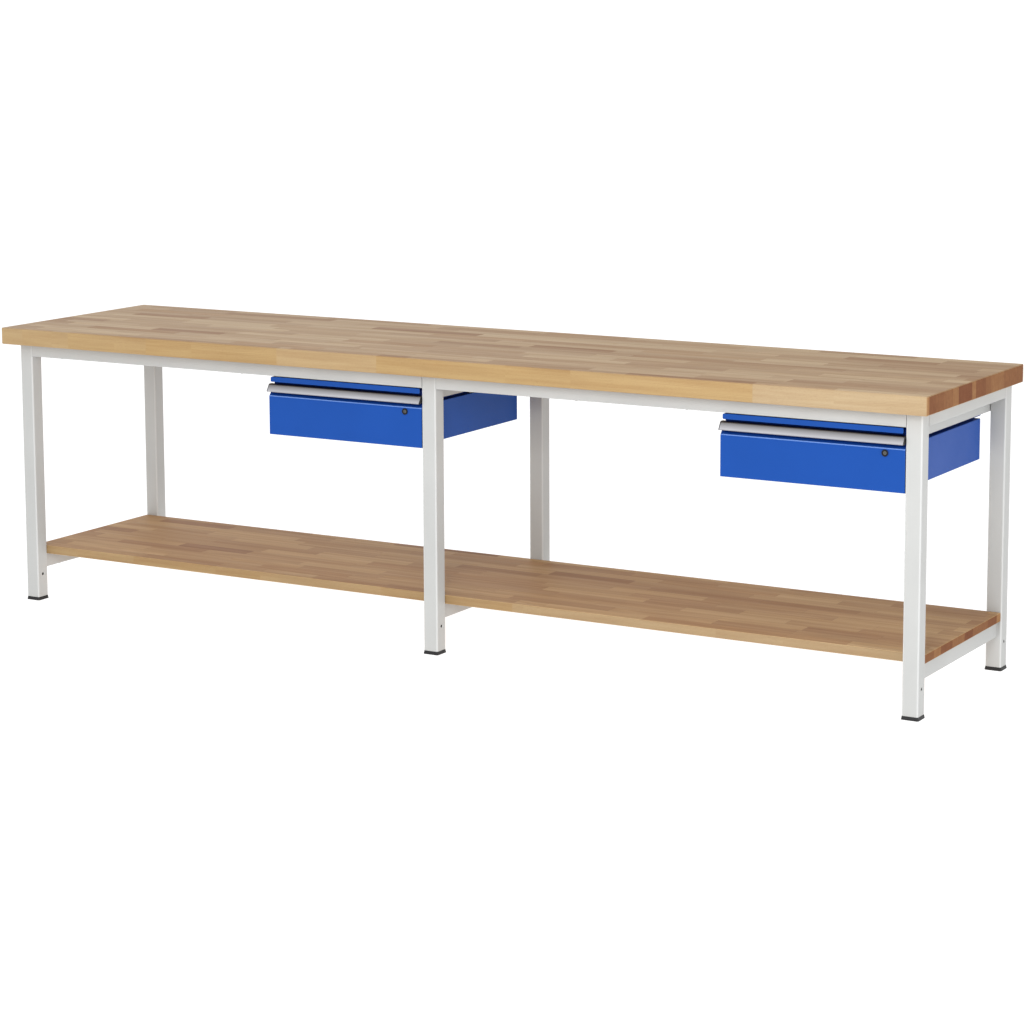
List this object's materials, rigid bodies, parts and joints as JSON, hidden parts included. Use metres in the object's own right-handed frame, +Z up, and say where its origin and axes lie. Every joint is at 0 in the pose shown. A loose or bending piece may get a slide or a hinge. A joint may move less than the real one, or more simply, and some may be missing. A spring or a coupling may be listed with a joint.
{
  "type": "workbench",
  "caption": "Long workshop bench with a solid wood worktop and low shelf on welded tube frames, with shallow lockable steel drawers hung under the worktop.",
  "frame": {"origin": "on the floor, below the middle of the worktop", "axes": "+X along the bench to the right seen from the front, +Y from the drawers to the back, +Z up"},
  "size_m": [3, 0.7, 0.85],
  "materials": {
    "beech": "oiled",
    "grey_coat": "satin powder coat",
    "blue_coat": "satin powder coat",
    "black_plastic": "matte",
    "anodised": "satin anodised",
    "zinc_steel": "zinc plated",
    "black_metal": "gloss black",
    "lock_steel": "polished"
  },
  "bodies": {
    "bench": {"worktop": "beech", "shelf": "beech", "leg_front_left": "grey_coat", "foot_cap_front_left": "black_plastic", "leg_back_left": "grey_coat", "foot_cap_back_left": "black_plastic", "top_cross_rail_left": "grey_coat", "lower_cross_rail_left": "grey_coat", "leg_front_middle": "grey_coat", "foot_cap_front_middle": "black_plastic", "leg_back_middle": "grey_coat", "foot_cap_back_middle": "black_plastic", "top_cross_rail_middle": "grey_coat", "lower_cross_rail_middle": "grey_coat", "leg_front_right": "grey_coat", "foot_cap_front_right": "black_plastic", "leg_back_right": "grey_coat", "foot_cap_back_right": "black_plastic", "top_cross_rail_right": "grey_coat", "lower_cross_rail_right": "grey_coat", "front_rail_left": "grey_coat", "rear_rail_left": "grey_coat", "front_rail_right": "grey_coat", "rear_rail_right": "grey_coat", "left_hanger_rail_left": "grey_coat", "left_hanger_rail_right": "grey_coat", "left_housing_lid": "blue_coat", "left_housing_side_left": "blue_coat", "left_housing_side_right": "blue_coat", "left_housing_back": "blue_coat", "left_housing_fascia": "blue_coat", "left_slide_outer": "zinc_steel", "right_hanger_rail_left": "grey_coat", "right_hanger_rail_right": "grey_coat", "right_housing_lid": "blue_coat", "right_housing_side_left": "blue_coat", "right_housing_side_right": "blue_coat", "right_housing_back": "blue_coat", "right_housing_fascia": "blue_coat", "right_slide_outer": "zinc_steel"},
    "left_slide_middle": {"left_slide_middle": "zinc_steel"},
    "left_drawer": {"left_drawer_tray": "grey_coat", "left_drawer_front": "blue_coat", "left_handle": "anodised", "left_handle_caps": "black_plastic", "left_slide_inner": "zinc_steel", "left_lock_case": "black_metal"},
    "left_lock": {"left_lock_plug": "lock_steel", "left_lock_cam": "zinc_steel"},
    "right_slide_middle": {"right_slide_middle": "zinc_steel"},
    "right_drawer": {"right_drawer_tray": "grey_coat", "right_drawer_front": "blue_coat", "right_handle": "anodised", "right_handle_caps": "black_plastic", "right_slide_inner": "zinc_steel", "right_lock_case": "black_metal"},
    "right_lock": {"right_lock_plug": "lock_steel", "right_lock_cam": "zinc_steel"}
  },
  "joints": [
    {"name": "left_drawer_slide", "type": "slide", "parent": "bench", "child": "left_drawer", "axis": [0, -1, 0], "range_m": [0, 0.45]},
    {"name": "left_middle_slide", "type": "slide", "parent": "bench", "child": "left_slide_middle", "axis": [0, -1, 0], "range_m": [0, 0.225]},
    {"name": "left_lock_turn", "type": "hinge", "parent": "left_drawer", "child": "left_lock", "pos_m": [-0.0785, -0.29, 0.69], "axis": [0, 1, 0], "range_deg": [0, 90]},
    {"name": "right_drawer_slide", "type": "slide", "parent": "bench", "child": "right_drawer", "axis": [0, -1, 0], "range_m": [0, 0.45]},
    {"name": "right_middle_slide", "type": "slide", "parent": "bench", "child": "right_slide_middle", "axis": [0, -1, 0], "range_m": [0, 0.225]},
    {"name": "right_lock_turn", "type": "hinge", "parent": "right_drawer", "child": "right_lock", "pos_m": [1.369, -0.29, 0.69], "axis": [0, 1, 0], "range_deg": [0, 90]}
  ],
  "couplings": [
    {"joint": "left_middle_slide", "follows": "left_drawer_slide", "ratio": 0.5},
    {"joint": "right_middle_slide", "follows": "right_drawer_slide", "ratio": 0.5}
  ]
}
